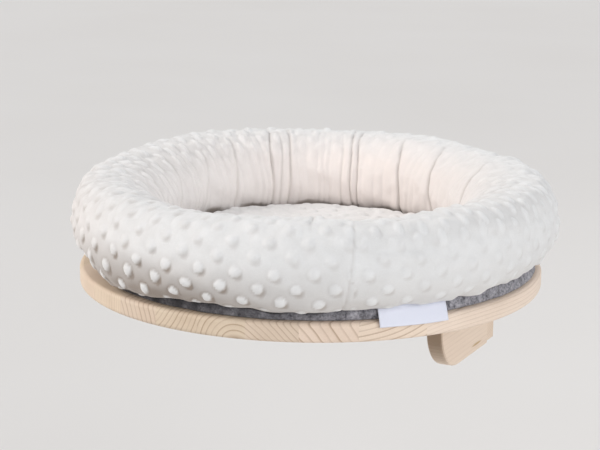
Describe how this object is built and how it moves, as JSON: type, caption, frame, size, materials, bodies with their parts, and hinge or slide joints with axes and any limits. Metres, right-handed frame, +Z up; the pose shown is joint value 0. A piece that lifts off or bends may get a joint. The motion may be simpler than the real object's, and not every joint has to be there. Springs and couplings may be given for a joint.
{
  "type": "wall-mounted pet bed",
  "caption": "Round plush pet bed with a gathered ring and a floor cushion, lying on a round glued-wood shelf that two wooden brackets hold to a wall.",
  "frame": {"origin": "centre of the four wall screw holes, on the wall face of the wall plate", "axes": "+X to the right along the wall, +Y into the wall, +Z up"},
  "size_m": [0.466, 0.4666, 0.216],
  "materials": {
    "board_wood": "oiled softwood, sanded",
    "support_wood": "oiled softwood, sanded",
    "screw_steel": "zinc plated",
    "grey_felt": "mottled felt",
    "white_plush": "dimple dot plush",
    "stuffing": "loose polyester fibre",
    "woven_label": "satin woven tape"
  },
  "bodies": {
    "shelf": {"stave_1": "board_wood", "stave_2": "board_wood", "stave_3": "board_wood", "stave_4": "board_wood", "stave_5": "board_wood", "stave_6": "board_wood", "stave_7": "board_wood", "stave_8": "board_wood", "stave_9": "board_wood", "stave_10": "board_wood", "wall_plate": "support_wood", "left_bracket": "support_wood", "right_bracket": "support_wood", "board_screws": "screw_steel", "bracket_screws": "screw_steel"},
    "bed": {"felt_base": "grey_felt", "felt_band": "grey_felt", "ring_cover": "white_plush", "ring_filling": "stuffing", "label": "woven_label"},
    "floor_pad": {"pad_cover": "white_plush", "pad_filling": "stuffing"}
  },
  "joints": [
    {"name": "bed_lift", "type": "slide", "parent": "shelf", "child": "bed", "axis": [0, 0, 1], "range_m": [0, 0.15]},
    {"name": "pad_lift", "type": "slide", "parent": "bed", "child": "floor_pad", "axis": [0, 0, 1], "range_m": [0, 0.12]}
  ]
}
